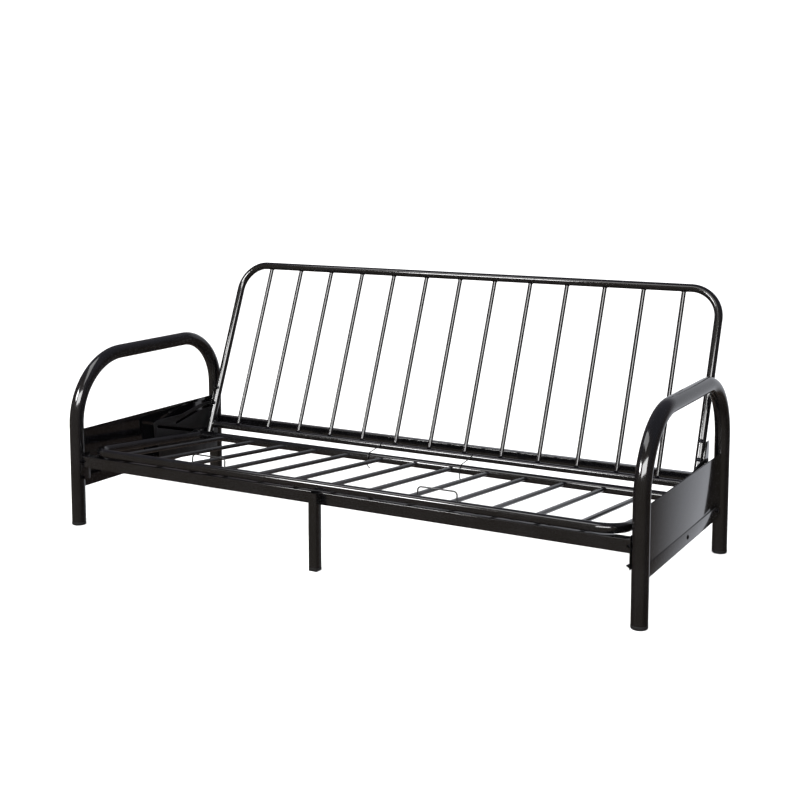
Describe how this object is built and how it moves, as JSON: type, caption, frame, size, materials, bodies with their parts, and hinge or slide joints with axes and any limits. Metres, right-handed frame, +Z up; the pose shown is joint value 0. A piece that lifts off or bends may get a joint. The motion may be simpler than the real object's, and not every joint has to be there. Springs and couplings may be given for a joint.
{
  "type": "futon sofa bed frame",
  "caption": "Black steel tube futon frame: two arched arms, a slatted seat deck that slides forward and a barred back deck that folds flat to make a bed.",
  "frame": {"origin": "on the floor, at the middle of the object's footprint in its sofa position", "axes": "+Z up, -Y the front of the sofa, +X along the sofa to the right seen from the front"},
  "size_m": [2.133, 0.9985, 0.8729],
  "materials": {
    "black_enamel_tube": "gloss black baked enamel on round steel tube",
    "black_enamel_sheet": "gloss black baked enamel on folded sheet and square tube",
    "black_plastic": "moulded black polyethylene foot caps and glide pads",
    "black_zinc_bolt": "black zinc plated steel",
    "black_wire": "black coated steel wire"
  },
  "bodies": {
    "frame": {"arm_tube_left": "black_enamel_tube", "arm_tube_right": "black_enamel_tube", "side_panel_left": "black_enamel_sheet", "side_panel_right": "black_enamel_sheet", "front_rail_left": "black_enamel_sheet", "front_rail_right": "black_enamel_sheet", "rear_rail": "black_enamel_sheet", "centre_leg": "black_enamel_sheet", "centre_leg_cap": "black_plastic", "foot_cap_front_left": "black_plastic", "foot_cap_rear_left": "black_plastic", "foot_cap_front_right": "black_plastic", "foot_cap_rear_right": "black_plastic", "rail_bracket_left": "black_enamel_sheet", "rail_bracket_right": "black_enamel_sheet", "seat_glide_pad_left": "black_plastic", "seat_glide_pad_right": "black_plastic", "guide_plate_left": "black_enamel_sheet", "guide_plate_right": "black_enamel_sheet"},
    "carriage": {"hinge_pin_left": "black_zinc_bolt", "hinge_pin_right": "black_zinc_bolt"},
    "seat": {"seat_frame_tube": "black_enamel_tube", "seat_rear_tube": "black_enamel_tube", "seat_slat_01": "black_enamel_tube", "seat_slat_02": "black_enamel_tube", "seat_slat_03": "black_enamel_tube", "seat_slat_04": "black_enamel_tube", "seat_slat_05": "black_enamel_tube", "seat_slat_06": "black_enamel_tube", "seat_slat_07": "black_enamel_tube", "seat_slat_08": "black_enamel_tube", "seat_slat_09": "black_enamel_tube", "seat_slat_10": "black_enamel_tube", "seat_slat_11": "black_enamel_tube", "seat_slat_12": "black_enamel_tube", "seat_slat_13": "black_enamel_tube", "seat_hinge_lug_left": "black_enamel_sheet", "seat_hinge_lug_right": "black_enamel_sheet", "mattress_stop_left": "black_wire", "mattress_stop_right": "black_wire", "wire_tie_left": "black_wire", "wire_tie_right": "black_wire"},
    "back": {"back_frame_tube": "black_enamel_tube", "back_lower_tube": "black_enamel_tube", "back_bar_01": "black_enamel_tube", "back_bar_02": "black_enamel_tube", "back_bar_03": "black_enamel_tube", "back_bar_04": "black_enamel_tube", "back_bar_05": "black_enamel_tube", "back_bar_06": "black_enamel_tube", "back_bar_07": "black_enamel_tube", "back_bar_08": "black_enamel_tube", "back_bar_09": "black_enamel_tube", "back_bar_10": "black_enamel_tube", "back_bar_11": "black_enamel_tube", "back_bar_12": "black_enamel_tube", "back_bar_13": "black_enamel_tube", "back_bracket_left": "black_enamel_sheet", "back_bracket_right": "black_enamel_sheet"}
  },
  "joints": [
    {"name": "hinge_slide", "type": "slide", "parent": "frame", "child": "carriage", "axis": [0, -0.9682, 0.25], "range_m": [0, 0.2943]},
    {"name": "seat_tilt", "type": "hinge", "parent": "carriage", "child": "seat", "pos_m": [0, 0.22, 0.2094], "axis": [1, 0, 0], "range_deg": [0, 5.05]},
    {"name": "back_fold", "type": "hinge", "parent": "carriage", "child": "back", "pos_m": [0, 0.22, 0.2094], "axis": [-1, 0, 0], "range_deg": [0, 67.8]}
  ],
  "couplings": [
    {"joint": "seat_tilt", "follows": "hinge_slide", "rad_per_m": 0.29647},
    {"joint": "back_fold", "follows": "hinge_slide", "rad_per_m": 4.0202}
  ]
}
